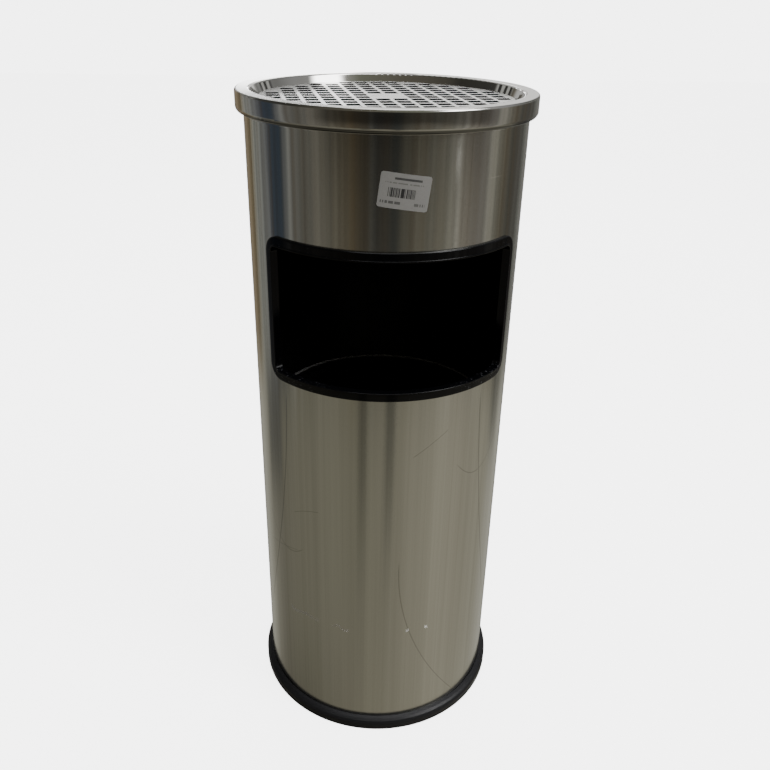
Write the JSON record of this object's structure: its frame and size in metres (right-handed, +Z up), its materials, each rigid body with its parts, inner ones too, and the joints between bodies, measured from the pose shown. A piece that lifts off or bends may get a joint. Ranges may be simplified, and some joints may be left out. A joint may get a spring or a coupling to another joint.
{
  "type": "ashtray bin",
  "caption": "Round free-standing ashtray bin: brushed steel shell with a black-framed opening in front, a lift-out bucket and a lift-off ash tray with a grille.",
  "frame": {"origin": "on the floor at the shell's axis, centre of the base ring's underside", "axes": "+Z up along the shell's axis, the opening faces -Y, +X is to the right of someone facing the opening"},
  "size_m": [0.25, 0.25, 0.61],
  "materials": {
    "brushed_stainless": "brushed",
    "polished_stainless": "polished",
    "bowl_stainless": "satin",
    "galvanised_sheet": "dull",
    "zinc_plate": "bright",
    "rivet_aluminium": "satin",
    "black_paint": "semi-gloss",
    "black_gloss_plastic": "gloss",
    "black_moulded_plastic": "satin",
    "grip_plastic": "matte",
    "label_paper": "satin"
  },
  "bodies": {
    "bin_body": {"body_shell": "brushed_stainless", "opening_frame": "black_gloss_plastic", "base_ring": "black_moulded_plastic", "base_screws": "zinc_plate", "bottom_plate": "galvanised_sheet", "price_label": "label_paper"},
    "bucket": {"bucket_wall": "black_paint", "bucket_floor": "black_paint", "bucket_rim_wire": "zinc_plate", "bucket_ear_right": "black_paint", "bucket_ear_left": "black_paint", "bucket_rivets": "rivet_aluminium"},
    "handle": {"handle_wire": "zinc_plate", "handle_grip": "grip_plastic"},
    "ash_tray": {"lid_rim": "polished_stainless", "ash_bowl": "bowl_stainless"},
    "grille": {"grille": "polished_stainless"}
  },
  "joints": [
    {"name": "bucket_lift", "type": "slide", "parent": "bin_body", "child": "bucket", "axis": [0, 0, 1], "range_m": [0, 0.62]},
    {"name": "handle_swing", "type": "hinge", "parent": "bucket", "child": "handle", "pos_m": [0, 0, 0.305], "axis": [1, 0, 0], "range_deg": [0, 192]},
    {"name": "tray_lift", "type": "slide", "parent": "bucket", "child": "ash_tray", "axis": [0, 0, 1], "range_m": [0, 0.15]},
    {"name": "grille_lift", "type": "slide", "parent": "ash_tray", "child": "grille", "axis": [0, 0, 1], "range_m": [0, 0.1]}
  ]
}
